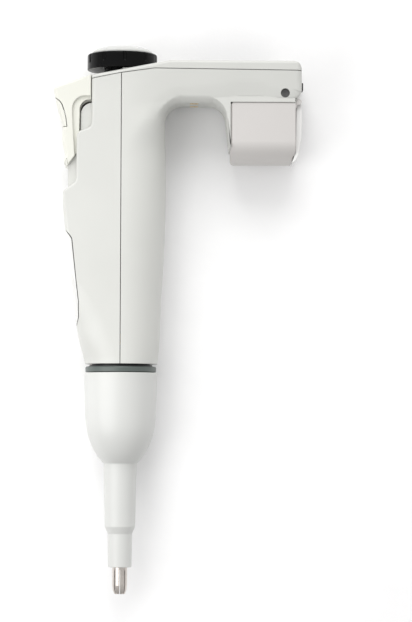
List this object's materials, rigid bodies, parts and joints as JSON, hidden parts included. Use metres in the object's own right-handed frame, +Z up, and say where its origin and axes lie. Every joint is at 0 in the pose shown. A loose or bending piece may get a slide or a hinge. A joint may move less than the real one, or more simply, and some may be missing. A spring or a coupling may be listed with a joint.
{
  "type": "electronic pipette",
  "caption": "L-shaped hand-held electronic single-channel pipette with thumb ejector, selector ring, stepped ejector sleeve and removable battery pack",
  "frame": {"origin": "centre of the footprint of the pipette lying on its flat side, on the surface it lies on", "axes": "+Y runs along the body from the nozzle to the operating button, +X runs from the handle towards the end of the display arm, +Z points up from the side it lies on"},
  "size_m": [0.1094, 0.2402, 0.0324],
  "materials": {
    "white_shell": "fine-textured satin off-white moulding",
    "clear_coat_white": "glossy off-white insert",
    "ejector_cream": "satin cream moulding",
    "pack_grey": "matte warm light grey moulding",
    "black_plastic": "satin black moulding",
    "ring_grey": "satin mid-grey ring",
    "inner_grey": "matte inner moulding",
    "steel": "ground and polished steel",
    "gold_contact": "gold-plated contact",
    "brass_nut": "machined brass",
    "display_glass": "dark clear window",
    "circuit_board": "green laminate",
    "soft_rubber": "soft dark elastomer",
    "cell_wrap": "shrink-wrapped cell"
  },
  "bodies": {
    "handle": {"rear_housing": "white_shell", "rear_grip_inlay": "clear_coat_white", "front_housing": "white_shell", "top_cover": "white_shell", "display_window": "display_glass", "display_module": "black_plastic", "main_board": "circuit_board", "button_spring": "steel", "button_switch": "black_plastic", "motor": "steel", "motor_bracket": "steel", "guide_rod_1": "steel", "guide_rod_2": "steel", "coupling_collar": "black_plastic", "cylinder": "inner_grey", "piston_seal": "soft_rubber", "seal_retainer": "inner_grey", "nozzle": "steel", "ejector_spring": "steel", "battery_terminal_1": "gold_contact", "battery_terminal_2": "gold_contact", "charging_contact_1": "gold_contact", "charging_contact_2": "gold_contact", "arm_screw_1": "steel", "arm_screw_2": "steel", "charging_socket": "steel", "port_plug": "soft_rubber"},
    "ejector": {"ejector_slider": "ejector_cream", "ejector_thumb_pad": "ejector_cream", "ejector_rod": "steel", "sleeve_carrier": "steel", "ejector_sleeve": "white_shell", "colour_ring": "ring_grey"},
    "button": {"operating_button": "clear_coat_white", "button_plunger": "inner_grey"},
    "selector": {"selector_ring": "black_plastic", "encoder_ring": "inner_grey"},
    "drive_screw": {"lead_screw": "steel"},
    "plunger": {"piston": "steel", "piston_carriage": "brass_nut"},
    "pack": {"battery_pack": "pack_grey", "battery_cell": "cell_wrap", "pack_contact_1": "gold_contact", "pack_contact_2": "gold_contact", "latch_pin": "steel"},
    "latch": {"pack_latch": "white_shell"}
  },
  "joints": [
    {"name": "ejector_slide", "type": "slide", "parent": "handle", "child": "ejector", "axis": [0, -1, 0], "range_m": [0, 0.0095], "stiffness_N_per_m": 500, "springref_m": -0.004, "deforming": ["ejector_spring"]},
    {"name": "button_press", "type": "slide", "parent": "handle", "child": "button", "axis": [0, -1, 0], "range_m": [0, 0.0015], "stiffness_N_per_m": 1500, "springref_m": -0.001, "deforming": ["button_spring"]},
    {"name": "selector_turn", "type": "hinge", "parent": "handle", "child": "selector", "pos_m": [-0.02483, 0.10985, 0.0162], "axis": [0, -1, 0], "continuous": true},
    {"name": "plunger_slide", "type": "slide", "parent": "handle", "child": "plunger", "axis": [0, 1, 0], "range_m": [0, 0.016]},
    {"name": "screw_turn", "type": "hinge", "parent": "handle", "child": "drive_screw", "pos_m": [-0.02483, 0.00985, 0.0162], "axis": [0, -1, 0], "range_deg": [0, 2880]},
    {"name": "pack_slide", "type": "slide", "parent": "handle", "child": "pack", "axis": [0, -1, 0], "range_m": [0, 0.03]},
    {"name": "latch_swing", "type": "hinge", "parent": "pack", "child": "latch", "pos_m": [0.05247, 0.09455, 0.0162], "axis": [0, 0, 1], "range_deg": [0, 70]}
  ],
  "couplings": [
    {"joint": "screw_turn", "follows": "plunger_slide", "rad_per_m": 3141.6}
  ]
}
